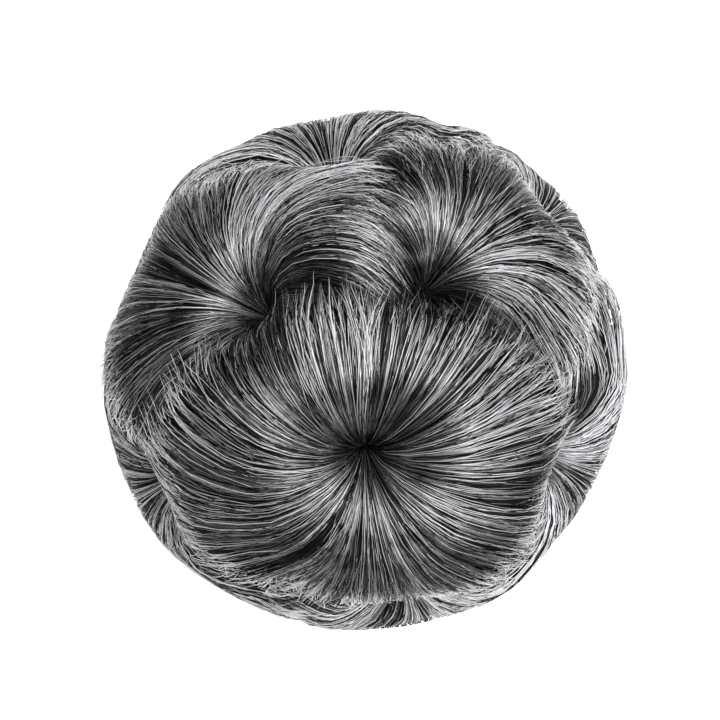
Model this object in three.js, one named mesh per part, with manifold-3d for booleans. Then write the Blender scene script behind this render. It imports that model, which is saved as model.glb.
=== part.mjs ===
// A clip-in hair bun: nine tucked curls of straight hair, sewn round a hollow net cap with a comb in its rim.
// Millimetres, +Z up. The bun stands on the hem of its cap, with the hair just clear of the surface.
import * as THREE from "three";
import { mergeVertices } from "three/addons/utils/BufferGeometryUtils.js";
import Module from "manifold-3d";

const wasm = await Module();
wasm.setup();

// The bun as a whole
const CENTRE_HEIGHT = 13; // height of the point that every curl faces out from
const FLATTENING = 0.88; // how far the dome is pressed down, as a share of its height
const SEAM_GAP = 0.4; // kept between neighbouring pieces
const HAIR_CLEARANCE = 1; // the lowest hair stands this far above the hem's underside

// The net cap, open underneath for the wearer's own bun
const CAP = { radius: 40, height: 43, wall: 1.5, hemHeight: 7, hemWall: 2.4, sides: 32, domeSteps: 5 };

// The insertion comb, sewn inside the front of the hem with its teeth leaning in along the dome
const COMB = { width: 34, spine: 6, toothLength: 17, toothWidth: 1.5, teeth: 11, thickness: 1.8 };
const COMB_LEAN = THREE.MathUtils.degToRad(25);
const COMB_FOOT = 2; // height of the comb's lower edge

// Cross-section of every curl, from its tucked middle over the crown to the rim and back under it.
// reach: share of the curl's reach. lift: share of its loft, 0 at the rim and 1 at the crown.
// cover: the lift of the space that the curl keeps to itself when lower curls are cut away.
const CURL_PROFILE = [
  { reach: 0, lift: -0.6, cover: 1.8 },
  { reach: 0.05, lift: -0.32, cover: 1.8 },
  { reach: 0.14, lift: 0.25, cover: 1.8 },
  { reach: 0.28, lift: 0.72, cover: 1.8 },
  { reach: 0.46, lift: 1, cover: 1.8 },
  { reach: 0.66, lift: 0.94, cover: 1.6 },
  { reach: 0.84, lift: 0.7, cover: 0.7 },
  { reach: 0.95, lift: 0.38, cover: 0.38 },
  { reach: 1, lift: 0, cover: 0 },
  { reach: 0.95, lift: -0.35, cover: -0.35 },
];
const ROOT = { reach: 0.5, distance: 20 }; // where a curl's foot ends, inside the cap before it is cut to it

// The curls, each one lying over those below it in the tables.
// tilt and bearing: the way it faces, in degrees from +Z and round from +X.
// crown: distance of the crown from the bun's centre. loft: height of the crown over the rim.
const CURL_COLUMNS = ["name", "tilt", "bearing", "crown", "loft", "locks"];
const CURL_ROWS = [
  ["top_curl_front", 26, -91, 65.5, 13, 15],
  ["top_curl_left", 32, 156.5, 63.5, 13, 15],
  ["top_curl_right", 26, 49, 63, 12, 13],
  ["side_curl_back", 61, 100, 62, 12, 13],
  ["side_curl_right", 65, -27, 63.5, 12, 13],
  ["side_curl_front_left", 77, 210, 63.5, 12, 13],
  ["side_curl_back_right", 75, 40, 63.5, 12, 13],
  ["side_curl_front", 79, -83, 63, 12, 13],
  ["side_curl_left", 83, 157, 63, 12, 13],
];
const CURLS = CURL_ROWS.map((row) => Object.fromEntries(CURL_COLUMNS.map((column, i) => [column, row[i]])));

// Degrees from the middle of each curl to its rim, seen with its downhill side below
const RIM_COLUMNS = ["down", "downRight", "right", "upRight", "up", "upLeft", "left", "downLeft"];
const RIMS = {
  top_curl_front: [43, 51, 54, 47, 38.5, 43.5, 53, 53],
  top_curl_left: [50, 43.5, 47, 43, 37, 39, 45, 37.5],
  top_curl_right: [41, 39, 43, 36, 36, 36, 42, 42],
  side_curl_back: [42, 44, 47, 42, 42, 42, 41, 42],
  side_curl_right: [44, 49, 46, 45, 43, 43, 42, 43],
  side_curl_front_left: [42, 42, 43, 44, 44, 44, 43, 42],
  side_curl_back_right: [43, 42, 43, 44, 44, 44, 45, 49],
  side_curl_front: [42, 42, 43, 44, 44, 44, 43, 42],
  side_curl_left: [42, 42, 43, 46, 48, 46, 43, 42],
};
const LOCK_SECTION = [-1, 0.5, 0.5]; // each lock is a groove and then the two sides of its rounded back
const LOCK_RELIEF = 0.9; // height of a lock's back over its groove, times two thirds
const LOCK_FADE = 0.3; // share of the reach over which the locks rise out of the smooth middle
const LOCK_RAGGEDNESS = 0.03; // how far a lock ends short of the rim or past it, as a share of the reach
const RAGGED_STEP = 2.4; // turns the end of one lock from short to long at the next, in radians

const hair = new THREE.MeshStandardMaterial({ color: 0x6a6b6e, roughness: 0.45, metalness: 0 });
const net = new THREE.MeshStandardMaterial({ color: 0x1d1d20, roughness: 0.9, metalness: 0 });
const plastic = new THREE.MeshStandardMaterial({ color: 0x141416, roughness: 0.35, metalness: 0 });

// A closed geometry as a solid that can be joined and cut
function toSolid(geometry) {
  const bare = geometry.clone();
  bare.deleteAttribute("normal");
  bare.deleteAttribute("uv");
  const merged = mergeVertices(bare);
  const vertProperties = merged.attributes.position.array;
  const triVerts = new Uint32Array(merged.index.array);
  return new wasm.Manifold(new wasm.Mesh({ numProp: 3, vertProperties, triVerts }));
}

function toGeometry(solid) {
  const { vertProperties, triVerts } = solid.getMesh();
  const geometry = new THREE.BufferGeometry();
  geometry.setAttribute("position", new THREE.BufferAttribute(vertProperties, 3));
  geometry.setIndex(new THREE.BufferAttribute(triVerts, 1));
  geometry.computeVertexNormals();
  return geometry;
}

// Points of a quarter ellipse from the top of the hem to the top of the dome
function domeArc(radius, height) {
  const rise = height - CAP.hemHeight;
  return Array.from({ length: CAP.domeSteps + 1 }, (_, step) => {
    const angle = (step / CAP.domeSteps) * (Math.PI / 2);
    const across = step === CAP.domeSteps ? 0 : radius * Math.cos(angle);
    return new THREE.Vector2(across, CAP.hemHeight + rise * Math.sin(angle));
  });
}

// A lathe turns about +Y, so its axis is stood up along +Z
function lathe(profile) {
  return new THREE.LatheGeometry(profile, CAP.sides).rotateX(Math.PI / 2);
}

// The cap's wall, thickened to a hem round its opening
function capGeometry() {
  const inside = domeArc(CAP.radius - CAP.wall, CAP.height - CAP.wall).reverse();
  const hemInside = CAP.radius - CAP.hemWall;
  const hem = [
    new THREE.Vector2(hemInside, CAP.hemHeight - (CAP.hemWall - CAP.wall)),
    new THREE.Vector2(hemInside, 0),
    new THREE.Vector2(CAP.radius, 0),
  ];
  return lathe([...inside, ...hem, ...domeArc(CAP.radius, CAP.height)]);
}

// The room that the cap and its hollow take, with the seam gap round it and on down past the hem
function capRoom() {
  const outside = domeArc(CAP.radius + SEAM_GAP, CAP.height + SEAM_GAP);
  const foot = [new THREE.Vector2(0, -CAP.height), new THREE.Vector2(CAP.radius + SEAM_GAP, -CAP.height)];
  return lathe([...foot, ...outside]);
}

// All that lies below the hair's lowest level
function floorRoom() {
  const side = 4 * CAP.radius;
  const depth = side / 2;
  return new THREE.BoxGeometry(side, side, depth).translate(0, 0, HAIR_CLEARANCE - depth / 2);
}

function facing(tilt, bearing) {
  const t = THREE.MathUtils.degToRad(tilt);
  const b = THREE.MathUtils.degToRad(bearing);
  return new THREE.Vector3(Math.sin(t) * Math.cos(b), Math.sin(t) * Math.sin(b), Math.cos(t));
}

// A closed curl about the bun's centre, or with grow the larger room that it keeps clear of lower curls
function curlGeometry(curl, grow = 0) {
  const axis = facing(curl.tilt, curl.bearing);
  const downhill = facing(curl.tilt + 90, curl.bearing);
  const across = new THREE.Vector3().crossVectors(axis, downhill);
  const columns = curl.locks * LOCK_SECTION.length;
  const growAngle = grow / curl.crown;

  // A point at an angle from the curl's middle, a turn round it and a distance from the bun's centre
  const place = (angle, turn, distance) => {
    const point = axis.clone().multiplyScalar(Math.cos(angle));
    point.addScaledVector(downhill, Math.sin(angle) * Math.cos(turn));
    point.addScaledVector(across, Math.sin(angle) * Math.sin(turn));
    point.multiplyScalar(distance);
    return [point.x, point.y, point.z * FLATTENING + CENTRE_HEIGHT];
  };
  const rim = RIMS[curl.name];
  const reachAt = (column, turn) => {
    const lock = Math.floor(column / LOCK_SECTION.length);
    const ragged = 1 + LOCK_RAGGEDNESS * Math.sin(RAGGED_STEP * lock + curl.bearing);
    const part = (turn / (2 * Math.PI)) * RIM_COLUMNS.length;
    const from = Math.floor(part);
    const blend = THREE.MathUtils.smoothstep(part - from, 0, 1);
    const reach = THREE.MathUtils.lerp(rim[from], rim[(from + 1) % rim.length], blend);
    return THREE.MathUtils.degToRad(reach) * ragged + growAngle;
  };
  const distanceAt = (row, column) => {
    const lift = grow > 0 ? row.cover : row.lift;
    const fade = Math.min(1, row.reach / LOCK_FADE);
    const relief = LOCK_RELIEF * LOCK_SECTION[column % LOCK_SECTION.length] * fade;
    return curl.crown - curl.loft * (1 - lift) + relief + grow;
  };

  const [tuck, ...rings] = CURL_PROFILE;
  const points = [place(0, 0, distanceAt(tuck, 0))];
  const addRing = (reach, distance) => {
    for (let column = 0; column < columns; column += 1) {
      const turn = (column / columns) * 2 * Math.PI;
      points.push(place(reach * reachAt(column, turn), turn, distance(column)));
    }
  };
  for (const row of rings) addRing(row.reach, (column) => distanceAt(row, column));
  addRing(ROOT.reach, () => ROOT.distance);
  points.push(place(0, 0, ROOT.distance));

  const faces = [];
  const last = points.length - 1;
  const at = (ring, column) => 1 + ring * columns + (column % columns);
  for (let column = 0; column < columns; column += 1) {
    faces.push(0, at(0, column), at(0, column + 1));
    for (let ring = 0; ring < rings.length; ring += 1) {
      faces.push(at(ring, column), at(ring + 1, column), at(ring + 1, column + 1));
      faces.push(at(ring, column), at(ring + 1, column + 1), at(ring, column + 1));
    }
    faces.push(at(rings.length, column), last, at(rings.length, column + 1));
  }
  const geometry = new THREE.BufferGeometry();
  geometry.setAttribute("position", new THREE.Float32BufferAttribute(points.flat(), 3));
  geometry.setIndex(faces);
  return geometry;
}

// Each curl is cut to the cap, to the surface and to the curls that lie over it
function curlMeshes() {
  const blocked = [toSolid(capRoom()), toSolid(floorRoom())];
  return CURLS.map((curl) => {
    const whole = toSolid(curlGeometry(curl));
    const cut = blocked.reduce((solid, room) => solid.subtract(room), whole);
    const [main] = cut.decompose().sort((a, b) => b.volume() - a.volume());
    blocked.push(toSolid(curlGeometry(curl, SEAM_GAP)));
    const mesh = new THREE.Mesh(toGeometry(main), hair);
    mesh.name = curl.name;
    return mesh;
  });
}

// The comb's outline, spine below and teeth above, each tooth with a blunt point
function combOutline() {
  const half = COMB.width / 2;
  const pitch = (COMB.width - COMB.toothWidth) / (COMB.teeth - 1);
  const tip = COMB.toothWidth / 2;
  const outline = new THREE.Shape();
  outline.moveTo(-half, 0);
  outline.lineTo(half, 0);
  for (let tooth = COMB.teeth - 1; tooth >= 0; tooth -= 1) {
    const middle = -half + tip + tooth * pitch;
    outline.lineTo(middle + tip, COMB.spine);
    outline.lineTo(middle + tip, COMB.spine + COMB.toothLength - tip);
    outline.lineTo(middle, COMB.spine + COMB.toothLength);
    outline.lineTo(middle - tip, COMB.spine + COMB.toothLength - tip);
    if (tooth > 0) outline.lineTo(middle - tip, COMB.spine);
  }
  outline.closePath();
  return outline;
}

function combMesh() {
  const geometry = new THREE.ExtrudeGeometry(combOutline(), { depth: COMB.thickness, bevelEnabled: false });
  const mesh = new THREE.Mesh(geometry, plastic);
  mesh.name = "comb";
  // Stood up with its teeth in the air, it leans in from the front of the hem with its ends against the wall
  const hemInside = (CAP.radius - CAP.hemWall) * Math.cos(Math.PI / CAP.sides) - SEAM_GAP;
  mesh.rotation.x = Math.PI / 2 - COMB_LEAN;
  mesh.position.y = -Math.sqrt(hemInside ** 2 - (COMB.width / 2) ** 2) + COMB.thickness * Math.cos(COMB_LEAN);
  mesh.position.z = COMB_FOOT;
  return mesh;
}

function capMesh() {
  const mesh = new THREE.Mesh(capGeometry(), net);
  mesh.name = "base_cap";
  return mesh;
}

// The middle of the bun's outline is brought over the origin
const bun = new THREE.Group();
bun.add(capMesh(), combMesh(), ...curlMeshes());
const extent = new THREE.Box3().setFromObject(bun, true);
const { x: middleX, y: middleY } = extent.getCenter(new THREE.Vector3());
bun.position.set(-middleX, -middleY, -extent.min.z);

const part = new THREE.Group();
part.add(bun);

export default part;
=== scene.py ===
"""A clip-in bun of salt and pepper hair, dressed strand by strand round its packed construction.

Nine tucked curls lie on a hollow net cap that has an insertion comb in its rim. Sizes are in
millimetres and degrees, and become metres where a mesh is made.
"""

import logging
import math
from dataclasses import dataclass, field
from enum import Enum

import bpy
import numpy as np
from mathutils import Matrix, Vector


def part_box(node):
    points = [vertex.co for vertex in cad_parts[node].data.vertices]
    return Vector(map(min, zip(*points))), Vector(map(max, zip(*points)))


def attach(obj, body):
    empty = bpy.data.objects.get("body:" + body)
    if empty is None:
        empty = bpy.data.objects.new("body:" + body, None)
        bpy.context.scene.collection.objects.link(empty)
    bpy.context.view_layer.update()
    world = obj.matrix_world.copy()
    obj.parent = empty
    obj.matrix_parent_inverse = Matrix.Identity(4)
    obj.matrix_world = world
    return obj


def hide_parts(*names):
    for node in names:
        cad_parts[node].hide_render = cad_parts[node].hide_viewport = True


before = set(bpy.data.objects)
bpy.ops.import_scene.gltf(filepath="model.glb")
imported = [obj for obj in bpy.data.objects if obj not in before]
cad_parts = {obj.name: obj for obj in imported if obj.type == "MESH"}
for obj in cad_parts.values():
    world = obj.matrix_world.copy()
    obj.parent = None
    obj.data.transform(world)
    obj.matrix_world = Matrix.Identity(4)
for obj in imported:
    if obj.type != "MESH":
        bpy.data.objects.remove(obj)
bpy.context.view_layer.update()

log = logging.getLogger("hair_bun")

MM = 0.001
BODY = "root"
BAKE_MAP = "OFBake"  # the UV map that lays a strand out by its tone and its length
BAKE_SPREAD = 0.0012  # how far apart a strand's sides lie on it
TONE = "tone"  # point attribute: 0 for a black strand, 1 for a silver one, with painted shade and painted light along the strands added in
ALONG = "along"  # point attribute: 0 at a strand's root, 1 at its tip
TONE_LIMITS = (0.01, 0.99)
DARK_TONE = 0.36  # strands darker than this are dull
CORE_SHADE_TONE = 0.004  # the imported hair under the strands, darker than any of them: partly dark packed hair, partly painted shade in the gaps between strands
THREAD_TONE = 0.5  # every sewing thread
KIND_TONES = (0.74, 0.46, 0.16)  # light strands, greys and blacks
GREY_SHARE = 0.38  # greys among the strands that aren't light
MOTTLE = "uneven_dark_stuff"  # the node group that the dark finishes share
MOTTLE_FINER = 6.0  # how much finer its second noise is
MOTTLE_FINE_SHARE = 0.45
MERGE_DISTANCE = 0.01  # corners of a solid's triangles that lie closer are one point

CENTRE_HEIGHT = 13.0  # height of the point that every curl faces out from
FLATTENING = 0.88  # how far the dome is pressed down, as a share of its height

Zone = tuple[float, float]  # where a change starts and where it is complete, or a range
Triple = tuple[float, float, float]
Colour = tuple[float, float, float, float]


class Tier(Enum):
    """The rows of curls, with the number of strands that each curl shows."""

    TOP = 2560
    SIDE = 1060


@dataclass(frozen=True)
class StrandStyle:
    """How the strands of one kind lie on a curl.

    Places along a strand are shares of the way from the curl's middle to its rim.
    """

    share: float  # how many there are, as a share of the curl's strands
    steps: int  # points along a strand
    root: Zone  # where strands start
    rooted_deep: float  # share of the strands that start in the tucked middle instead
    run: Zone  # how far strands run, or where they end if they run to the rim
    to_rim: bool
    layer: Zone  # heights over the curl's surface
    sway: float  # how far strands wander to the side, in radians about the curl
    waves: Zone  # how often they do so between middle and rim
    hook: float  # how far their tips turn aside, in radians about the curl
    radius: float
    light: float  # share of light strands
    float_height: float = 0.0  # how far the middle of a strand stands off, at most
    lift: float = 0.0  # how much lighter all of them are
    frayed: float = 0.0  # share that end on top of the curls below, besides those on a level rim
    loose: float = 0.45  # how far each strand goes its own way: 0 in tight wisps, 1 alone

    def wanted(self, tier: Tier) -> int:
        """The number of strands of this kind on a curl of a tier."""
        return int(tier.value * self.share)


class Family(Enum):
    """The kinds of strand.

    There are dark ones below, the smooth body, frayed ends, the fringe of the rim and loose hairs.
    """

    # Mostly dark strands lying deepest: partly their own tone, partly painted shade in the depths.
    UNDER = StrandStyle(
        share=0.18, steps=6, root=(0.1, 0.4), rooted_deep=0.4, run=(0.86, 0.98), to_rim=True,
        layer=(-1.7, -0.8), sway=0.04, waves=(0.5, 1.1), hook=0.04, radius=0.11,
        light=0.14, lift=0.11,
    )
    BODY = StrandStyle(
        share=0.75, steps=10, root=(0.08, 0.5), rooted_deep=0.5, run=(0.92, 1.02), to_rim=True,
        layer=(-0.9, 0.6), sway=0.022, waves=(0.5, 1.1), hook=0.05, radius=0.092,
        light=0.48, frayed=0.4,
    )
    TIPS = StrandStyle(
        share=0.2, steps=6, root=(0.55, 0.88), rooted_deep=0.0, run=(0.1, 0.26), to_rim=False,
        layer=(-0.2, 0.6), sway=0.018, waves=(1.5, 3.0), hook=0.07, radius=0.085,
        light=0.6, frayed=0.4, loose=0.7,
    )
    # Light, lifted ends at the rim: partly their own tone, partly painted light where the ends catch the
    # lamps.
    FRINGE = StrandStyle(
        share=0.14, steps=5, root=(0.84, 0.94), rooted_deep=0.0, run=(0.06, 0.13), to_rim=False,
        layer=(0.0, 0.7), sway=0.05, waves=(1.0, 2.0), hook=0.14, radius=0.1,
        light=0.8, lift=0.05, frayed=1.0, loose=1.0,
    )
    LOOSE = StrandStyle(
        share=0.011, steps=14, root=(0.1, 0.7), rooted_deep=0.0, run=(0.25, 0.45), to_rim=False,
        layer=(0.4, 0.8), float_height=2.0, sway=0.1, waves=(0.4, 0.8), hook=0.12, radius=0.055,
        light=1.0, lift=-0.05, loose=1.0,
    )


def deselect_all() -> None:
    """Leaves nothing selected, so that an operator meets only what is chosen next."""
    bpy.ops.object.select_all(action="DESELECT")


def activate(piece: bpy.types.Object) -> None:
    """Makes a piece the only selected one, and the active one."""
    deselect_all()
    piece.select_set(True)
    bpy.context.view_layer.objects.active = piece


def edit_all(piece: bpy.types.Object) -> None:
    """Opens a piece in edit mode with all of it selected."""
    activate(piece)
    bpy.ops.object.mode_set(mode="EDIT")
    bpy.ops.mesh.select_all(action="SELECT")


def end_edit() -> None:
    """Goes back to object mode."""
    bpy.ops.object.mode_set(mode="OBJECT")


def apply_modifier(piece: bpy.types.Object, kind: str, **settings: object) -> None:
    """Adds a modifier to a piece and applies it.

    Args:
        piece: The object to change.
        kind: The modifier's type, as Blender names it.
        settings: The modifier's values.
    """
    activate(piece)
    modifier = piece.modifiers.new(kind.lower(), kind)
    for name, value in settings.items():
        setattr(modifier, name, value)
    bpy.ops.object.modifier_apply(modifier=modifier.name)


def new_piece(name: str, mesh: bpy.types.Mesh) -> bpy.types.Object:
    """Makes an object of a mesh, at the origin.

    Args:
        name: The object's name.
        mesh: Its mesh.

    Returns:
        The new object.
    """
    piece = bpy.data.objects.new(name, mesh)
    bpy.context.collection.objects.link(piece)
    return piece


def copy_of_node(node: str, name: str) -> bpy.types.Object:
    """Copies a construction solid as a new piece, with its loose triangles merged.

    Args:
        node: The solid's name.
        name: The new piece's name.

    Returns:
        The new object, at the origin.
    """
    piece = new_piece(name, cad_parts[node].data.copy())
    piece.data.materials.clear()
    edit_all(piece)
    bpy.ops.mesh.remove_doubles(threshold=MERGE_DISTANCE * MM)
    end_edit()
    return piece


def join(pieces: list[bpy.types.Object]) -> bpy.types.Object:
    """Joins pieces into the first of them.

    Args:
        pieces: The objects.

    Returns:
        The joined object.
    """
    activate(pieces[0])
    for piece in pieces:
        piece.select_set(True)
    bpy.ops.object.join()
    return pieces[0]


def report(piece: bpy.types.Object) -> None:
    """Logs a piece's name and number of triangles."""
    triangles = sum(len(polygon.vertices) - 2 for polygon in piece.data.polygons)
    log.info("%s: %d triangles", piece.name, triangles)


def smooth_step(low: float, high: float, at: np.ndarray) -> np.ndarray:
    """Rises from 0 at low to 1 at high with level ends."""
    t = np.clip((at - low) / (high - low), 0.0, 1.0)
    return t * t * (3 - 2 * t)


def smooth_max(a: np.ndarray, b: np.ndarray, width: float) -> np.ndarray:
    """The larger of two heights, rounded where they meet."""
    gap = np.clip(0.5 + 0.5 * (a - b) / width, 0.0, 1.0)
    return b * (1 - gap) + a * gap + width * gap * (1 - gap)


def smooth_table(knots: np.ndarray, values: np.ndarray, at: np.ndarray) -> np.ndarray:
    """Reads a table between its rows along a smooth curve.

    Args:
        knots: The rows' places, rising.
        values: The rows' values.
        at: The places to read.

    Returns:
        A value for each place.
    """
    slopes = np.gradient(values, knots)
    row = np.clip(np.searchsorted(knots, at, side="right") - 1, 0, len(knots) - 2)
    width = knots[row + 1] - knots[row]
    t = np.clip((at - knots[row]) / width, 0.0, 1.0)
    rise = t * t * (3 - 2 * t)
    bend_in = t * (1 - t) ** 2 * width * slopes[row]
    bend_out = t * t * (t - 1) * width * slopes[row + 1]
    return values[row] * (1 - rise) + values[row + 1] * rise + bend_in + bend_out


def round_table(values: tuple[float, ...], turn: np.ndarray) -> np.ndarray:
    """Reads a table whose rows go once round.

    Args:
        values: The rows, evenly spaced from turn 0.
        turn: The turns to read at, in radians.

    Returns:
        A value for each turn.
    """
    rows = np.array(values)
    part = np.mod(turn / math.tau, 1.0) * len(rows)
    row = np.floor(part).astype(int) % len(rows)
    blend = smooth_step(0.0, 1.0, part - np.floor(part))
    return rows[row] * (1 - blend) + rows[(row + 1) % len(rows)] * blend


def facing(tilt: float, bearing: float) -> np.ndarray:
    """The unit vector at a tilt from +Z and a bearing round from +X, in degrees."""
    t, b = math.radians(tilt), math.radians(bearing)
    return np.array([math.sin(t) * math.cos(b), math.sin(t) * math.sin(b), math.cos(t)])


def longest_run(shows: np.ndarray) -> tuple[np.ndarray, np.ndarray]:
    """Finds the longest unbroken run of points that show, for each strand.

    Args:
        shows: True for points that show, a row for each strand.

    Returns:
        The first and the last point of each run. The last is before the first where none shows.
    """
    count, steps = shows.shape
    run = np.zeros(count, int)
    best, best_end = np.zeros(count, int), np.full(count, -1)
    for step in range(steps):
        run = np.where(shows[:, step], run + 1, 0)
        better = run > best
        best = np.where(better, run, best)
        best_end = np.where(better, step, best_end)
    return best_end - best + 1, best_end


def strand_tones(kind: np.ndarray, light: float) -> np.ndarray:
    """Sorts strands into light ones, greys and blacks.

    Args:
        kind: A number from 0 to 1 for each strand.
        light: The share of light ones.

    Returns:
        A tone for each strand.
    """
    grey = light + (1 - light) * GREY_SHARE
    return np.select([kind < light, kind < grey], KIND_TONES[:2], KIND_TONES[2])


def write_layout(
    mesh: bpy.types.Mesh, tone: np.ndarray, along: np.ndarray, loops: np.ndarray
) -> None:
    """Writes the tone and length of each point of a hair mesh, and the bake map they lay out.

    Args:
        mesh: The mesh to write to.
        tone: A tone for each vertex.
        along: A share of its strand's length for each vertex.
        loops: The vertex of each face corner.
    """
    spread = BAKE_SPREAD * (np.arange(len(tone)) % StrandSet.SIDES - 1)
    for name, values in ((TONE, tone), (ALONG, along)):
        layer = mesh.attributes.new(name, "FLOAT", "POINT")
        layer.data.foreach_set("value", values.astype(np.float32))
    flat = np.stack([np.clip(tone + spread, 0, 1), np.clip(along, 0, 1)], axis=1)[loops]
    bake_map = mesh.uv_layers.new(name=BAKE_MAP, do_init=False)
    bake_map.uv.foreach_set("vector", flat.astype(np.float32).ravel())


@dataclass
class StrandSet:
    """Strands as arrays: a row for each strand, a column for each point along it."""

    points: np.ndarray
    outward: np.ndarray
    radius: np.ndarray
    tone: np.ndarray
    along: np.ndarray

    SIDES = 3
    PAINTED_SIDE_SHADE = (0.0, 0.26, 0.26)  # painted shade: how much darker each side of a fibre is than its back, so that it looks rounder and finer

    def mesh(self, name: str) -> bpy.types.Mesh:
        """Makes every strand a closed three-sided fibre with flat ends.

        Args:
            name: The mesh's name.

        Returns:
            The mesh, in metres, with its tone, its length and its bake map.
        """
        count, steps = self.radius.shape
        forward = np.gradient(self.points, axis=1)
        forward /= np.linalg.norm(forward, axis=2, keepdims=True)
        across = np.cross(forward, self.outward)
        across /= np.linalg.norm(across, axis=2, keepdims=True)
        upward = np.cross(across, forward)
        turns = math.pi / 2 + math.tau * np.arange(self.SIDES) / self.SIDES
        ring = (
            across[:, :, None, :] * np.cos(turns)[None, None, :, None]
            + upward[:, :, None, :] * np.sin(turns)[None, None, :, None]
        )
        corners = self.points[:, :, None, :] + ring * self.radius[:, :, None, None]

        index = np.arange(count * steps * self.SIDES).reshape(count, steps, self.SIDES)
        here, after = index[:, :-1, :], index[:, 1:, :]
        quads = np.stack([here, np.roll(here, -1, 2), np.roll(after, -1, 2), after], axis=3)
        quads = quads.reshape(-1, 4)
        caps = np.concatenate([index[:, 0, ::-1], index[:, -1, :]])
        loops = np.concatenate([quads.ravel(), caps.ravel()])
        quad_starts = np.arange(len(quads)) * 4
        starts = np.concatenate([quad_starts, quads.size + np.arange(len(caps)) * self.SIDES])

        mesh = bpy.data.meshes.new(name)
        mesh.vertices.add(index.size)
        mesh.vertices.foreach_set("co", (corners * MM).astype(np.float32).ravel())
        mesh.loops.add(loops.size)
        mesh.loops.foreach_set("vertex_index", loops.astype(np.int32))
        mesh.polygons.add(len(starts))
        mesh.polygons.foreach_set("loop_start", starts.astype(np.int32))
        dull = (self.tone.mean(axis=1) < DARK_TONE).astype(np.int32)
        finish = np.concatenate([np.repeat(dull, (steps - 1) * self.SIDES), dull, dull])
        mesh.polygons.foreach_set("material_index", finish)
        mesh.update(calc_edges=True)
        mesh.shade_smooth()
        # Painted shade on the two sides of every fibre.
        tone = np.clip(self.tone[:, :, None] - np.array(self.PAINTED_SIDE_SHADE), *TONE_LIMITS)
        along = np.repeat(self.along, self.SIDES, axis=1)
        write_layout(mesh, tone.ravel(), along.ravel(), loops)
        return mesh


def new_material(name: str) -> tuple[bpy.types.Material, bpy.types.Node]:
    """Makes a node material.

    Args:
        name: The material's name.

    Returns:
        The material and its shader node.
    """
    material = bpy.data.materials.new(name)
    material.use_nodes = True
    return material, material.node_tree.nodes["Principled BSDF"]


def set_inputs(tree: bpy.types.NodeTree, node: bpy.types.Node, inputs: dict[str | int, object]) -> None:
    """Links or sets a node's inputs.

    Args:
        tree: The node's tree.
        node: The node.
        inputs: For each input, the socket to link to it or the value to set.
    """
    for name, value in inputs.items():
        if isinstance(value, bpy.types.NodeSocket):
            tree.links.new(value, node.inputs[name])
        else:
            node.inputs[name].default_value = value


def add_node(
    tree: bpy.types.NodeTree, kind: str, inputs: dict[str | int, object] | None = None, **settings: object
) -> bpy.types.Node:
    """Adds a node to a tree.

    Args:
        tree: The tree.
        kind: The node's type, as Blender names it.
        inputs: For each input, the socket to link to it or the value to set.
        settings: The node's own settings.

    Returns:
        The node.
    """
    node = tree.nodes.new(kind)
    for name, value in settings.items():
        setattr(node, name, value)
    set_inputs(tree, node, inputs or {})
    return node


@dataclass(frozen=True)
class HairFinish:
    """Synthetic hair, from black strands to silver ones, each with lighter and darker stretches."""

    name: str = "silver_hair"
    stops: tuple[Zone, ...] = ((0.0, 0.001), (0.3, 0.004), (0.55, 0.06), (0.8, 0.33), (1.0, 0.54))
    cool: Colour = (0.76, 0.86, 1.0, 1.0)
    warm: Colour = (1.0, 0.92, 0.83, 1.0)
    stretch_scale: Triple = (230.0, 5.0, 1.0)
    stretch_strength: float = 0.2
    tint_scale: Triple = (140.0, 1.5, 1.0)
    dark_roughness: float = 0.24
    light_roughness: float = 0.3
    specular: float = 0.75

    def patches(
        self, tree: bpy.types.NodeTree, place: bpy.types.NodeSocket, scale: Triple
    ) -> bpy.types.NodeSocket:
        """Adds a noise over tone and length.

        Args:
            tree: The material's nodes.
            place: The socket that gives a point's tone and length.
            scale: How fine the noise is along each of them.

        Returns:
            The socket that gives the noise, from 0 to 1.
        """
        spread = add_node(tree, "ShaderNodeMapping", {"Scale": scale, "Vector": place})
        noise = {"Scale": 1.0, "Vector": spread.outputs["Vector"]}
        return add_node(tree, "ShaderNodeTexNoise", noise).outputs["Fac"]

    def material(self) -> bpy.types.Material:
        """Builds the material, which reads only a strand's tone and the place along it.

        Returns:
            The material.
        """
        material, shader = new_material(self.name)
        tree = material.node_tree
        tone = add_node(tree, "ShaderNodeAttribute", attribute_name=TONE).outputs["Fac"]
        along = add_node(tree, "ShaderNodeAttribute", attribute_name=ALONG).outputs["Fac"]
        place = add_node(tree, "ShaderNodeCombineXYZ", {"X": tone, "Y": along}).outputs["Vector"]
        stretches = self.patches(tree, place, self.stretch_scale)
        reach = {"Value": stretches, "To Min": -self.stretch_strength, "To Max": self.stretch_strength}
        shift = add_node(tree, "ShaderNodeMapRange", reach).outputs["Result"]
        total = add_node(tree, "ShaderNodeMath", {0: tone, 1: shift}, operation="ADD")
        ramp = add_node(tree, "ShaderNodeValToRGB", {"Fac": total.outputs["Value"]})
        elements = ramp.color_ramp.elements
        while len(elements) < len(self.stops):
            elements.new(0.5)
        for element, (position, grey) in zip(elements, self.stops):
            element.position = position
            element.color = (grey, grey, grey, 1.0)
        hues = {"Factor": self.patches(tree, place, self.tint_scale), "A": self.cool, "B": self.warm}
        tint = add_node(tree, "ShaderNodeMix", hues, data_type="RGBA").outputs["Result"]
        layers = {"Factor": 1.0, "A": ramp.outputs["Color"], "B": tint}
        dyed = add_node(tree, "ShaderNodeMix", layers, data_type="RGBA", blend_type="MULTIPLY")
        reach = {"Value": tone, "To Min": self.dark_roughness, "To Max": self.light_roughness}
        gloss = add_node(tree, "ShaderNodeMapRange", reach)
        set_inputs(tree, shader, {
            "Base Color": dyed.outputs["Result"],
            "Roughness": gloss.outputs["Result"],
            "Specular IOR Level": self.specular,
        })
        return material


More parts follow.
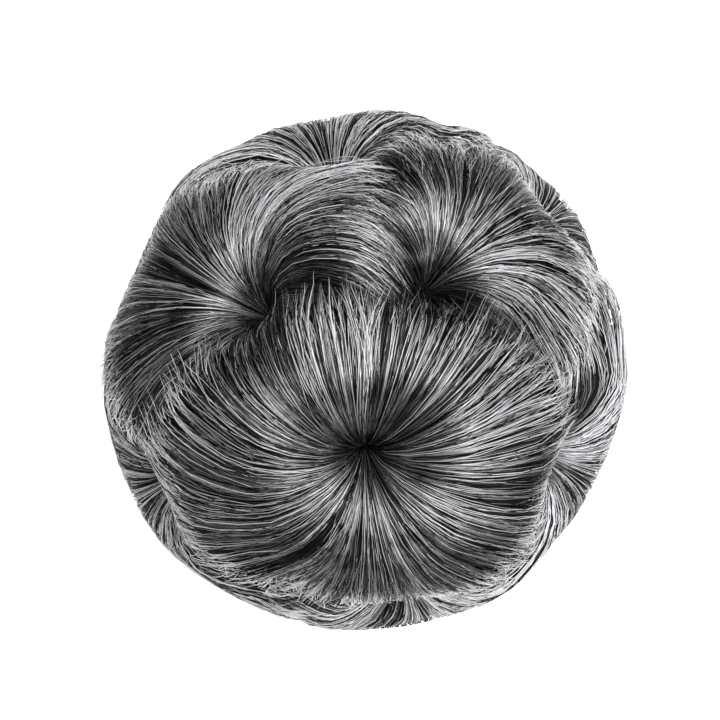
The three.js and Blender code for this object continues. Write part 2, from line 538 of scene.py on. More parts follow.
@dataclass
class Curl:
    """One tucked curl of hair: its strands rise from its middle and run over its crown to its rim.

    The rim and bend rows go round the curl from its downhill side, to the right as one faces it. A
    rim row is the angle from middle to rim, and a bend row is how far strands turn round the middle
    on their way there.
    """

    name: str
    tilt: float
    bearing: float
    crown: float
    loft: float
    tier: Tier
    rim: tuple[float, ...]
    bend: tuple[float, ...]
    seed: int
    axis: np.ndarray = field(init=False)
    downhill: np.ndarray = field(init=False)
    across: np.ndarray = field(init=False)

    PROFILE = (
        (0.0, -0.4), (0.04, -0.24), (0.08, 0.0), (0.14, 0.28), (0.28, 0.72), (0.46, 1.0),
        (0.66, 0.94), (0.84, 0.7), (0.95, 0.38), (1.0, 0.0), (1.2, 0.0),
    )

    def __post_init__(self) -> None:
        """Works out the curl's own directions."""
        self.axis = facing(self.tilt, self.bearing)
        self.downhill = facing(self.tilt + 90, self.bearing)
        self.across = np.cross(self.axis, self.downhill)

    def direction(self, share: np.ndarray, turn: np.ndarray) -> np.ndarray:
        """Unit vectors at a share of the reach from the middle and a turn round it, in radians."""
        angle = share * np.radians(round_table(self.rim, turn))
        side = self.downhill * np.cos(turn)[..., None] + self.across * np.sin(turn)[..., None]
        return self.axis * np.cos(angle)[..., None] + side * np.sin(angle)[..., None]

    def share(self, direction: np.ndarray) -> np.ndarray:
        """How far a direction lies from the middle, as a share of the reach on that side."""
        angle = np.arccos(np.clip(direction @ self.axis, -1.0, 1.0))
        turn = np.arctan2(direction @ self.across, direction @ self.downhill)
        return angle / np.radians(round_table(self.rim, turn))

    def surface(self, share: np.ndarray) -> np.ndarray:
        """Distance of the curl's surface from the bun's centre, at a share of its reach."""
        knots, values = np.array(self.PROFILE).T
        height = smooth_table(knots, values, np.clip(share, knots[0], knots[-1]))
        return self.crown - self.loft * (1 - height)


@dataclass
class Wisps:
    """Neighbouring strands that go the same way, as random numbers that they mostly share."""

    random: np.random.Generator
    turn: np.ndarray
    count: int
    loose: float

    def wisp(self) -> np.ndarray:
        """The wisp that each strand is in."""
        return np.floor(self.turn / math.tau * self.count).astype(int) % self.count

    def bell(self) -> np.ndarray:
        """Draws a number for each strand, most of them between -1 and 1."""
        own = self.random.normal(0, 1, len(self.turn))
        shared = self.random.normal(0, 1, self.count)
        return shared[self.wisp()] * math.sqrt(1 - self.loose**2) + own * self.loose

    def even(self, low: float, high: float) -> np.ndarray:
        """Draws a number between low and high for each strand."""
        own = self.random.random(len(self.turn))
        shared = self.random.random(self.count)
        strays = self.random.random(len(self.turn)) < self.loose
        return low + (high - low) * np.where(strays, own, shared[self.wisp()])


@dataclass
class StrandPlan:
    """What each strand of one kind does on one curl, a value for each strand."""

    turn: np.ndarray  # where round the curl it lies
    lock_turn: np.ndarray  # where the middle of its lock lies
    lock_sway: np.ndarray
    root: np.ndarray
    end: np.ndarray
    rim_height: np.ndarray  # how high on the bun the rim is there: 1 on top, 0 level with its centre
    frayed: np.ndarray
    height: np.ndarray  # over the curl's surface
    sway: np.ndarray
    hook: np.ndarray
    phase: np.ndarray
    waves: np.ndarray
    stand_off: np.ndarray
    radius: np.ndarray
    tone: np.ndarray


@dataclass(frozen=True)
class LayRules:
    """How strands lie on their curls."""

    spare: float = 2.6  # strands drawn for each one that is kept
    samples: int = 40  # places that are tried along a strand, to see where it shows
    shortest: int = 5  # steps between those places that a strand shows for, at least
    wisp_share: float = 0.3  # wisps, as a share of the curl's strands
    lock_count: int = 58
    lock_jitter: float = 0.3  # how far strands stray to the next lock, in locks
    lock_sway: float = 0.026
    lock_layer: float = 0.2  # how far locks lie above and below one another
    bundle: int = 4  # locks in a bundle
    bundle_layer: float = 0.12
    gather: float = 0.16  # how far locks narrow towards the rim
    deep_root: Zone = (0.01, 0.08)  # where strands start in the tucked middle
    root_depth: float = 0.9
    root_rise: float = 0.07  # the share of the way that a strand takes to come up
    end_sway: float = 0.3  # the part of its sway that a strand has at its ends
    hook_zone: Zone = (0.72, 1.06)
    bend_end: float = 1.1
    bend_power: float = 1.4
    level_rim: Zone = (0.6, 0.9)  # heights of the rim between which more of its ends fray
    level_frays: float = 0.4
    overhang: float = 0.07  # how far frayed ends go past the rim, at most
    float_spread: Zone = (0.3, 1.0)
    radius_spread: Zone = (0.8, 1.2)
    flank_zone: Zone = (0.05, 0.5)  # heights on the bun between which layers get their depth
    flank_layers: float = 0.35
    fringe_slope: Zone = (0.3, 0.62)  # heights of the rim between which its fringe dies out
    roughening: float = 0.05
    tip_width: float = 0.3
    taper: float = 4.0


@dataclass(frozen=True)
class ToneRules:
    """How tones differ from strand to strand and along a strand, with painted shade and painted light
    laid along the strands.
    """

    strand_tone: float = 0.1
    lock_tone: float = 0.03
    # strands that lie deeper are darker: partly their own tone, partly painted shade in the depths
    depth_tone_and_shade: float = 0.14
    # painted shade in the tucked middle of each curl
    painted_tuck_shade: float = 0.2
    painted_tuck_zone: Zone = (0.3, 0.65)  # where the painted shade in the tucked middle ends
    painted_uphill_shade: float = 0.8  # how much further that painted shade goes where the rim lies high, as a painted shadow of the crown
    painted_uphill_zone: Zone = (0.6, 0.95)
    light_zone: Zone = (0.45, 0.65)  # tones between which a strand becomes a light one
    # painted light on the tips of light strands at steep rims
    painted_tip_light: float = 0.8
    painted_tip_zone: Zone = (0.78, 0.9)
    level_tips: Zone = (0.5, 0.85)  # heights of the rim between which the painted light on the tips dies out
    # painted light on light strands low on the flanks, as if lit from the floor
    painted_flank_light: float = 0.34
    flank_zone: Zone = (0.2, 0.5)  # heights on the bun between which the painted light on the flanks dies out
    # a painted sheen: strands are lighter where they lie level across a fixed direction, darker where
    # steep
    painted_sheen: float = 0.35
    painted_sheen_width: float = 0.38
    painted_sheen_middle: float = 0.58
    painted_sheen_start: float = 0.14
    painted_sheen_from: Triple = (0.2, 0.06, 1.0)  # the painted sheen is brightest on strands that lie across this way, darker where they are steep
    # painted shade on strands close below the rim of a curl above
    painted_seam_shade: float = 0.12
    painted_seam_zone: Zone = (1.0, 1.22)
    limits: Zone = (0.01, 0.92)

    def along(
        self, plan: StrandPlan, share: np.ndarray, direction: np.ndarray, points: np.ndarray,
        shade_end: np.ndarray, seam: np.ndarray,
    ) -> np.ndarray:
        """Works out the tone of each point of the strands: their own tone, with painted shade in the
        tucked middle, on the uphill side and below the curls above, and painted light on tips, low flanks
        and level stretches.

        Args:
            plan: What the strands do.
            share: How far along its strand each point is.
            direction: Where the points are, from the bun's centre.
            points: The points.
            shade_end: Where the painted shade in each strand's tucked middle ends.
            seam: How far the points are from the nearest curl above, as shares of its reach.

        Returns:
            The tones.
        """
        # Painted shade in the tucked middle, reaching further on the uphill side.
        further = 1 + self.painted_uphill_shade * smooth_step(*self.painted_uphill_zone, plan.rim_height)
        lit = smooth_step(0.0, 1.0, share / (shade_end * further)[:, None])
        tone = plan.tone[:, None] - self.painted_tuck_shade * (1 - lit)
        steep = 1 - smooth_step(*self.level_tips, plan.rim_height)[:, None]
        light = smooth_step(*self.light_zone, plan.tone)[:, None]
        # Painted light on the tips of light strands at steep rims.
        tone += self.painted_tip_light * light * steep * smooth_step(*self.painted_tip_zone, share)
        # Painted light on light strands low on the flanks.
        tone += self.painted_flank_light * light * (1 - smooth_step(*self.flank_zone, direction[..., 2]))
        # A painted sheen, lighter where a strand lies level across a fixed direction.
        run = np.gradient(points, axis=1)
        shine = np.array(self.painted_sheen_from) / np.linalg.norm(self.painted_sheen_from)
        slope = run @ shine / np.linalg.norm(run, axis=2)
        level = np.exp(-((slope / self.painted_sheen_width) ** 2)) - self.painted_sheen_middle
        tone += self.painted_sheen * level * smooth_step(0.0, self.painted_sheen_start, share)
        # Painted shade close below the rim of a curl above.
        tone -= self.painted_seam_shade * (1 - smooth_step(*self.painted_seam_zone, seam))
        return np.clip(tone, *self.limits)


@dataclass(frozen=True)
class UndersideRules:
    """How strands turn in under the side curls, from the flank to the hem of the cap."""

    strands: int = 1500
    steps: int = 9
    slope: float = -0.2  # how far down from the centre the flank is met
    proud: float = 0.3  # how far outside the flank they start
    roll: float = 5.0  # how far above the bottom they start
    roll_power: int = 9
    ease: float = 1.3
    drift: float = 0.05
    wander: float = 0.02
    waves: float = 6.0
    levels: Zone = (-0.4, 0.6)
    facing: float = -2.0  # how steeply their backs face down
    radius: float = 0.14


@dataclass
class HairBun:
    """The hair of the whole bun: nine curls, each one lying over those after it."""

    light_finish: HairFinish
    dark_finish: HairFinish
    core_finish: HairFinish
    lay_rules: LayRules = LayRules()
    tone_rules: ToneRules = ToneRules()
    under_rules: UndersideRules = UndersideRules()
    girdle: float = 62.6  # how far out hair may lie at the foot of the bun
    dome_room: float = 9.0  # how much further it may lie on top
    dome_zone: Zone = (0.1, 0.6)
    swell: tuple[float, ...] = (
        0.6, -1.4, 2, 1.2, 1.6, 0.4, 1, 0.8, 1, 0.4, 1.1, 1.8, 0.4, 0.2, -0.5, 0.6, -1.2, -1,
    )
    edge_height: float = 1.8
    edge_dive: float = 1.0
    edge_zone: Zone = (0.88, 1.0)
    frayed_rest: float = 0.8
    lies_over: float = 0.5  # the share of the way from which strands may lie on lower curls
    press_depth: float = 1.7
    press_zone: Zone = (1.0, 1.22)
    drape_round: float = 2.0
    cover_share: float = 0.94
    floor_clearance: float = 1.2
    cap_clearance: float = 0.3
    core_voxel: float = 1.8
    core_smoothing: float = 0.5
    core_passes: int = 6
    core_shrink: float = 1.9
    flank_shrink: float = 0.9
    flank_zone: Zone = (0.1, 0.55)
    core_shell: float = 4.5
    curls: tuple[Curl, ...] = (
        Curl("top_curl_front", 26, -91, 65.5, 13, Tier.TOP,
             (39, 44.5, 49.5, 51, 53, 50, 47, 43, 38.5, 41, 43.5, 48, 52, 51, 46.5, 39),
             (-3, 8, -6, 0, 0, -12, -24, -22), 11),
        Curl("top_curl_left", 32, 156.5, 63.5, 13, Tier.TOP,
             (50, 43.5, 47, 43, 37, 39, 45, 37.5), (0, 0, 0, -20, -40, -45, -32, -3), 12),
        Curl("top_curl_right", 26, 49, 63, 12, Tier.TOP,
             (41, 39, 43, 36, 36, 36, 42, 42), (0, 10, 30, 20, 0, -20, -34, -18), 13),
        Curl("side_curl_back", 61, 100, 62, 12, Tier.SIDE,
             (47, 44, 47, 42, 42, 40, 36, 49), (0, 10, 22, 0, 0, 0, -22, -10), 14),
        Curl("side_curl_right", 65, -27, 63.5, 12, Tier.SIDE,
             (44, 49, 46, 45, 43, 43, 42, 43), (0, 15, 38, 10, 0, 0, -28, -10), 15),
        Curl("side_curl_front_left", 75, 210, 65, 12, Tier.SIDE,
             (42, 42, 43, 44, 44, 44, 43, 42), (0, 12, 32, 0, 0, 0, -20, -8), 16),
        Curl("side_curl_back_right", 75, 40, 63.5, 12, Tier.SIDE,
             (43, 46, 33, 40, 44, 44, 45, 49), (0, 5, 15, 0, 0, 0, -25, -10), 17),
        Curl("side_curl_front", 79, -81, 63, 12, Tier.SIDE,
             (42, 42, 43, 44, 44, 44, 43, 42), (-30, 0, 15, 0, 0, 0, -30, -50), 18),
        Curl("side_curl_left", 83, 157, 63, 12, Tier.SIDE,
             (42, 42, 43, 46, 48, 46, 43, 42), (0, 5, 15, 0, 0, 0, -15, -5), 19),
    )

    FLAT = np.array([1.0, 1.0, FLATTENING])

    def __post_init__(self) -> None:
        """Reads the bun's axis from the cap."""
        low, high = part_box("base_cap")
        self.centre = np.array([(low.x + high.x) / 2, (low.y + high.y) / 2, 0.0]) / MM
        self.centre[2] = CENTRE_HEIGHT
        self.cap_radius = (high.x - low.x) / 2 / MM
        self.cap_height = high.z / MM

    def place(self, direction: np.ndarray, distance: np.ndarray) -> np.ndarray:
        """Points at a direction and distance from the bun's centre, with the dome pressed down."""
        return self.centre + direction * self.FLAT * distance[..., None]

    def drape(
        self, rank: int, direction: np.ndarray, share: np.ndarray, frayed: np.ndarray
    ) -> np.ndarray:
        """Lays strands over the curls below theirs, and presses them down beside those above it.

        Args:
            rank: The curl's place in the order.
            direction: Where the strands' points are.
            share: How far from the middle they are.
            frayed: Which strands end on top of the lower curls instead of tucking in.

        Returns:
            How far out the points lie.
        """
        distance = self.curls[rank].surface(share)
        fall = smooth_step(*self.edge_zone, share)
        rest = np.where(frayed[:, None], self.frayed_rest, -self.edge_dive)
        gap = self.edge_height * (1 - fall) + rest * fall
        for lower in self.curls[rank + 1 :]:
            part = lower.share(direction)
            lies_on = (part < 1.0) & (share > self.lies_over)
            lifted = smooth_max(distance, lower.surface(part) + gap, self.drape_round)
            distance = np.where(lies_on, np.maximum(distance, lifted), distance)
        for upper in self.curls[:rank]:
            beside = 1 - smooth_step(*self.press_zone, upper.share(direction))
            distance = distance - self.press_depth * beside
        raised = smooth_step(*self.dome_zone, direction[..., 2])
        bearing = np.arctan2(direction[..., 1], direction[..., 0])
        limited = np.minimum(distance, self.girdle + self.dome_room * raised)
        return limited + round_table(self.swell, bearing) * (1 - raised)

    def hidden(self, rank: int, direction: np.ndarray, points: np.ndarray) -> np.ndarray:
        """Tells which points of a curl lie under a curl above it, in the cap or below the floor.

        Args:
            rank: The curl's place in the order.
            direction: Where the points are, from the bun's centre.
            points: The points.

        Returns:
            True for each such point.
        """
        lost = points[..., 2] < self.floor_clearance
        across = np.hypot(points[..., 0] - self.centre[0], points[..., 1] - self.centre[1])
        room = self.cap_radius + self.cap_clearance
        rise = np.clip(points[..., 2], 0.0, None) / (self.cap_height + self.cap_clearance)
        lost |= (across / room) ** 2 + rise**2 < 1.0
        for upper in self.curls[:rank]:
            lost |= upper.share(direction) < self.cover_share
        return lost

    def plan(self, curl: Curl, style: StrandStyle, random: np.random.Generator) -> StrandPlan:
        """Draws what the strands of one kind do on one curl.

        Args:
            curl: The curl.
            style: How strands of that kind lie.
            random: Where the numbers come from.

        Returns:
            The plan, for more strands than will be kept.
        """
        rules, tones = self.lay_rules, self.tone_rules
        count = int(style.wanted(curl.tier) * rules.spare)
        turn = random.uniform(0, math.tau, count)
        jitter = random.normal(0, rules.lock_jitter, count)
        lock = np.floor(turn / math.tau * rules.lock_count + jitter)
        lock_index = lock.astype(int) % rules.lock_count
        bundle_index = lock_index // rules.bundle
        lock_sway = random.normal(0, rules.lock_sway, rules.lock_count)[lock_index]
        lock_layer = random.uniform(-rules.lock_layer, rules.lock_layer, rules.lock_count)[lock_index]
        bundle_layer = random.uniform(-rules.bundle_layer, rules.bundle_layer, rules.lock_count)
        lock_layer += bundle_layer[bundle_index]
        lock_tone = random.normal(0, tones.lock_tone, rules.lock_count)[lock_index]
        lock_tone += random.normal(0, tones.lock_tone, rules.lock_count)[bundle_index]
        root = random.uniform(*style.root, count)
        deep = random.random(count) < style.rooted_deep
        root = np.where(deep, random.uniform(*rules.deep_root, count), root)
        end = random.uniform(*style.run, count) + (0.0 if style.to_rim else root)
        rim_height = curl.direction(np.ones(count), turn)[:, 2]
        frays = style.frayed + rules.level_frays * smooth_step(*rules.level_rim, rim_height)
        frayed = random.random(count) < frays
        overhang = random.uniform(0.0, rules.overhang, count)
        end += np.where(frayed & style.to_rim, overhang, 0.0)
        wisps = Wisps(random, turn, int(curl.tier.value * rules.wisp_share), style.loose)
        layer = wisps.even(*style.layer)
        sway, hook = style.sway * wisps.bell(), style.hook * wisps.bell()
        phase, waves = wisps.even(0, math.tau), wisps.even(*style.waves)
        stand_off = style.float_height * random.uniform(*rules.float_spread, count)
        radius = style.radius * random.uniform(*rules.radius_spread, count)
        tone = strand_tones(wisps.even(0.0, 1.0), style.light)
        tone = tone + random.normal(0, tones.strand_tone, count)
        # Deeper strands are darker: partly their own tone, partly painted shade in the depths.
        tone += lock_tone + tones.depth_tone_and_shade * layer + style.lift
        return StrandPlan(
            turn=turn, lock_turn=(lock + 0.5) * math.tau / rules.lock_count, lock_sway=lock_sway,
            root=root, end=end, rim_height=rim_height, frayed=frayed, height=layer + lock_layer,
            sway=sway, hook=hook, phase=phase, waves=waves, stand_off=stand_off, radius=radius,
            tone=tone,
        )

    def lay(
        self, rank: int, plan: StrandPlan, share: np.ndarray
    ) -> tuple[np.ndarray, np.ndarray]:
        """Lays strands out at shares of the way from middle to rim.

        Args:
            rank: The curl's place in the order.
            plan: What the strands do.
            share: The places along the strands, a row for each.

        Returns:
            The directions of the points from the bun's centre, and their distances.
        """
        rules, curl = self.lay_rules, self.curls[rank]
        turn, lock_turn, root = plan.turn[:, None], plan.lock_turn[:, None], plan.root[:, None]
        spread = (turn - lock_turn) * (1 - rules.gather * share**2)
        bow = np.sin(math.pi * np.clip(share, 0, 1))
        wander = np.sin(math.tau * plan.waves[:, None] * share + plan.phase[:, None])
        wander *= rules.end_sway + (1 - rules.end_sway) * bow
        aside = plan.lock_sway[:, None] * bow + plan.sway[:, None] * wander
        aside += plan.hook[:, None] * smooth_step(*rules.hook_zone, share)
        unbent = 1 - np.clip(share, 0, rules.bend_end) ** rules.bend_power
        bend = np.radians(round_table(curl.bend, turn)) * unbent
        direction = curl.direction(share, lock_turn + spread + aside - bend)
        distance = self.drape(rank, direction, share, plan.frayed)
        risen = smooth_step(0.0, rules.root_rise, share - root)
        way = (share - root) / (plan.end[:, None] - root)
        floating = plan.stand_off[:, None] * np.sin(math.pi * np.clip(way, 0, 1))
        level = smooth_step(*rules.flank_zone, direction[..., 2])
        steady = rules.flank_layers + (1 - rules.flank_layers) * level
        over = plan.height[:, None] * risen * steady - rules.root_depth * (1 - risen)
        return direction, distance + over + floating

    def strands(self, rank: int, family: Family) -> StrandSet:
        """Makes the strands of one kind on one curl.

        Args:
            rank: The curl's place in the order.
            family: The kind of strand.

        Returns:
            The strands that show.
        """
        curl, style, rules = self.curls[rank], family.value, self.lay_rules
        random = np.random.default_rng([curl.seed, style.steps])
        plan = self.plan(curl, style, random)
        root, length = plan.root, plan.end - plan.root
        even = np.linspace(0.0, 1.0, rules.samples)
        direction, distance = self.lay(rank, plan, root[:, None] + length[:, None] * even)
        first, last = longest_run(~self.hidden(rank, direction, self.place(direction, distance)))
        shows = last - first >= rules.shortest
        if family is Family.FRINGE:
            shows &= random.random(len(root)) > smooth_step(*rules.fringe_slope, plan.rim_height)
        keep = np.flatnonzero(shows)[: style.wanted(curl.tier)]
        step = length / (rules.samples - 1)
        low = root + step * np.maximum(first - 1, 0)
        high = root + step * np.minimum(last + 1, rules.samples - 1)
        t = np.linspace(0.0, 1.0, style.steps)
        eased = 0.5 * t + 0.5 * (0.5 - 0.5 * np.cos(math.pi * t))
        share = low[:, None] + (high - low)[:, None] * eased
        direction, distance = self.lay(rank, plan, share)
        points = self.place(direction, distance + random.normal(0, rules.roughening, share.shape))
        taper = np.minimum(1.0, rules.tip_width + rules.taper * np.minimum(eased, 1 - eased))
        # Where each strand's painted shade in the tucked middle ends.
        shade_end = random.uniform(*self.tone_rules.painted_tuck_zone, len(root))
        above = [upper.share(direction) for upper in self.curls[:rank]]
        seam = np.min(above, axis=0, initial=np.inf)
        tone = self.tone_rules.along(plan, share, direction, points, shade_end, seam)
        return StrandSet(
            points=points[keep],
            outward=direction[keep],
            radius=(plan.radius[:, None] * taper)[keep],
            tone=tone[keep],
            along=np.clip(share, 0.0, 1.0)[keep],
        )

    def underside(self, rank: int) -> StrandSet:
        """Makes the strands across the underside of a side curl, from its flank in to the hem.

        Args:
            rank: The curl's place in the order.

        Returns:
            The strands.
        """
        rules, curl = self.under_rules, self.curls[rank]
        random = np.random.default_rng([curl.seed, rank])
        bearing = random.uniform(-math.pi, math.pi, rules.strands)
        drop = np.full(rules.strands, rules.slope)
        spoke = np.stack([np.cos(bearing), np.sin(bearing), drop], axis=1)
        spoke /= np.linalg.norm(spoke, axis=1, keepdims=True)
        shares = np.array([other.share(spoke) for other in self.curls])
        mine = np.argmax(shares < 1.0, axis=0) == rank
        bearing, spoke, share = bearing[mine], spoke[mine], shares[rank][mine]
        count = len(bearing)
        flank = curl.surface(share) * np.hypot(spoke[:, 0], spoke[:, 1]) + rules.proud
        way = np.linspace(0.0, 1.0, rules.steps)[None, :]
        hem = self.cap_radius + 2 * self.cap_clearance
        reach = flank[:, None] + (hem - flank)[:, None] * way**rules.ease
        drift = random.normal(0, rules.drift, count)[:, None] * way
        drift += random.normal(0, rules.wander, count)[:, None] * np.sin(rules.waves * way)
        turn = bearing[:, None] + drift
        level = self.floor_clearance + random.uniform(*rules.levels, count)[:, None]
        level = level + rules.roll * (1 - way) ** rules.roll_power
        points = np.stack([reach * np.cos(turn), reach * np.sin(turn), level], axis=2)
        points[..., :2] += self.centre[:2]
        backs = np.stack([np.cos(turn), np.sin(turn), np.full(turn.shape, rules.facing)], axis=2)
        tone = strand_tones(random.random(count), Family.BODY.value.light)
        return StrandSet(
            points=points,
            outward=backs,
            radius=np.full(turn.shape, rules.radius),
            tone=np.repeat(tone[:, None], rules.steps, axis=1),
            along=np.tile(way, (count, 1)),
        )

    def core(self, rank: int) -> bpy.types.Object:
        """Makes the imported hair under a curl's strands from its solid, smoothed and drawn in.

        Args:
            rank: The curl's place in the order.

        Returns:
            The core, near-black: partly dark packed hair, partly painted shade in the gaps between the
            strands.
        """
        curl = self.curls[rank]
        piece = copy_of_node(curl.name, f"{curl.name}_hair")
        apply_modifier(piece, "REMESH", mode="VOXEL", voxel_size=self.core_voxel * MM)
        apply_modifier(piece, "SMOOTH", factor=self.core_smoothing, iterations=self.core_passes)
        apply_modifier(piece, "DISPLACE", strength=-self.core_shrink * MM, mid_level=0.0)
        mesh = piece.data
        mesh.shade_smooth()
        places = np.zeros(len(mesh.vertices) * 3, np.float32)
        mesh.vertices.foreach_get("co", places)
        spokes = (places.reshape(-1, 3) / MM - self.centre) / self.FLAT
        distance = np.linalg.norm(spokes, axis=1)
        spokes /= distance[:, None]
        share = curl.share(spokes)
        surface = self.drape(rank, spokes[None], share[None], np.zeros(1, bool))[0]
        flank = 1 - smooth_step(*self.flank_zone, spokes[:, 2])
        beneath = surface - self.core_shrink - (self.flank_shrink - self.core_shrink) * flank
        settled = np.where(distance > surface - self.core_shell, beneath, distance)
        places = self.place(spokes, settled) * MM
        mesh.vertices.foreach_set("co", places.astype(np.float32).ravel())
        loops = np.zeros(len(mesh.loops), np.int32)
        mesh.loops.foreach_get("vertex_index", loops)
        # Near-black all over: partly dark packed hair, partly painted shade in the gaps between strands.
        write_layout(mesh, np.full(len(distance), CORE_SHADE_TONE), np.clip(share, 0, 1), loops)
        return piece

    def build(self) -> None:
        """Builds every curl as one piece, its core and its strands joined."""
        strand_materials = [self.light_finish.material(), self.dark_finish.material()]
        packed = self.core_finish.material()
        for rank, curl in enumerate(self.curls):
            core = self.core(rank)
            core.data.materials.append(packed)
            layers = [core]
            on_top = curl.tier is Tier.TOP
            kinds = [family for family in Family if on_top or family is not Family.LOOSE]
            strand_sets = [self.strands(rank, family) for family in kinds]
            if not on_top:
                strand_sets.append(self.underside(rank))
            for strand_set in strand_sets:
                mesh = strand_set.mesh(f"{curl.name}_strands")
                for material in strand_materials:
                    mesh.materials.append(material)
                layers.append(new_piece(mesh.name, mesh))
            core = join(layers)
            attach(core, BODY)
            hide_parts(curl.name)
            report(core)


def mottle_group() -> bpy.types.NodeTree:
    """Builds the shared group for the fine unevenness of cloth, thread and moulded plastic.

    Returns:
        The group: it takes a place and a scale, and gives a mask from 0 to 1.
    """
    if MOTTLE in bpy.data.node_groups:
        return bpy.data.node_groups[MOTTLE]
    group = bpy.data.node_groups.new(MOTTLE, "ShaderNodeTree")
    group.interface.new_socket("Place", in_out="INPUT", socket_type="NodeSocketVector")
    group.interface.new_socket("Scale", in_out="INPUT", socket_type="NodeSocketFloat")
    group.interface.new_socket("Mask", in_out="OUTPUT", socket_type="NodeSocketFloat")
    entry = group.nodes.new("NodeGroupInput")
    place, scale = entry.outputs["Place"], entry.outputs["Scale"]
    closer = add_node(group, "ShaderNodeMath", {0: scale, 1: MOTTLE_FINER}, operation="MULTIPLY")
    cloudy = add_node(group, "ShaderNodeTexNoise", {"Vector": place, "Scale": scale})
    fine = add_node(group, "ShaderNodeTexNoise", {"Vector": place, "Scale": closer.outputs["Value"]})
    parts = {"Factor": MOTTLE_FINE_SHARE, "A": cloudy.outputs["Fac"], "B": fine.outputs["Fac"]}
    blend = add_node(group, "ShaderNodeMix", parts)
    add_node(group, "NodeGroupOutput", {"Mask": blend.outputs["Result"]})
    return group


class Pattern(Enum):
    """What gives a finish its relief."""

    KNIT = "fine crossed threads on the piece's own map"
    RIBS = "ribs of a woven elastic band, across the piece's own map"
    TWIST = "the twist of a sewing thread, along it"
    GRAIN = "the faint grain of moulded plastic"


@dataclass(frozen=True)
class DarkFinish:
    """A dark finish with an uneven colour and gloss and a relief of its own, its colour darker in the
    relief's hollows as painted shade.
    """

    name: str
    pattern: Pattern
    dark: Colour
    pale: Colour
    roughness: Zone
    mottle_scale: float
    repeats: Zone = (1.0, 1.0)
    relief: float = 0.3
    relief_depth: float = 0.2
    specular: float = 0.5

    def material(self) -> bpy.types.Material:
        """Builds the material.

        Returns:
            The material.
        """
        material, shader = new_material(self.name)
        tree = material.node_tree
        place = add_node(tree, "ShaderNodeTexCoord").outputs
        inputs = {"Place": place["Object"], "Scale": self.mottle_scale}
        group = add_node(tree, "ShaderNodeGroup", node_tree=mottle_group())
        set_inputs(tree, group, inputs)
        mottle = group.outputs["Mask"]
        height = self.height(tree, place["UV"], mottle)
        # Darker where the relief is low: painted shade in its hollows, times the unevenness.
        shade = add_node(tree, "ShaderNodeMath", {0: mottle, 1: height}, operation="MULTIPLY")
        tints = {"Factor": shade.outputs["Value"], "A": self.dark, "B": self.pale}
        tint = add_node(tree, "ShaderNodeMix", tints, data_type="RGBA")
        low, high = self.roughness
        gloss = add_node(tree, "ShaderNodeMapRange", {"Value": mottle, "To Min": low, "To Max": high})
        relief = {"Strength": self.relief, "Distance": self.relief_depth * MM, "Height": height}
        bump = add_node(tree, "ShaderNodeBump", relief)
        set_inputs(tree, shader, {
            "Base Color": tint.outputs["Result"],
            "Roughness": gloss.outputs["Result"],
            "Normal": bump.outputs["Normal"],
            "Specular IOR Level": self.specular,
        })
        return material

    def height(
        self, tree: bpy.types.NodeTree, vector: bpy.types.NodeSocket, mottle: bpy.types.NodeSocket
    ) -> bpy.types.NodeSocket:
        """Adds the nodes of the relief.

        Args:
            tree: The material's nodes.
            vector: The socket that gives the place on the piece's map.
            mottle: The socket that gives the unevenness.

        Returns:
            The socket that gives the height, from 0 to 1.
        """
        if self.pattern is Pattern.GRAIN:
            return mottle
        if self.pattern is Pattern.TWIST:
            along = add_node(tree, "ShaderNodeAttribute", attribute_name=ALONG).outputs["Fac"]
            vector = add_node(tree, "ShaderNodeCombineXYZ", {"X": along}).outputs["Vector"]
        bands = []
        for direction, repeat in zip("XY", self.repeats):
            inputs = {"Scale": repeat, "Vector": vector}
            wave = add_node(tree, "ShaderNodeTexWave", inputs, bands_direction=direction)
            bands.append(wave.outputs["Fac"])
        if self.pattern is not Pattern.KNIT:
            return bands[0]
        crossed = add_node(tree, "ShaderNodeMath", dict(enumerate(bands)), operation="MULTIPLY")
        return crossed.outputs["Value"]


def sewn_in_rows(rows: list[np.ndarray], outward: list[np.ndarray], radius: float) -> StrandSet:
    """Gathers short threads into one set.

    Args:
        rows: The points of each thread, as many for each.
        outward: The way each thread's back faces, a vector for each point.
        radius: The threads' radius.

    Returns:
        The threads.
    """
    points = np.array(rows)
    count, steps, _ = points.shape
    return StrandSet(
        points=points,
        outward=np.array(outward),
        radius=np.full((count, steps), radius),
        tone=np.full((count, steps), THREAD_TONE),
        along=np.tile(np.linspace(0.0, 1.0, steps), (count, 1)),
    )


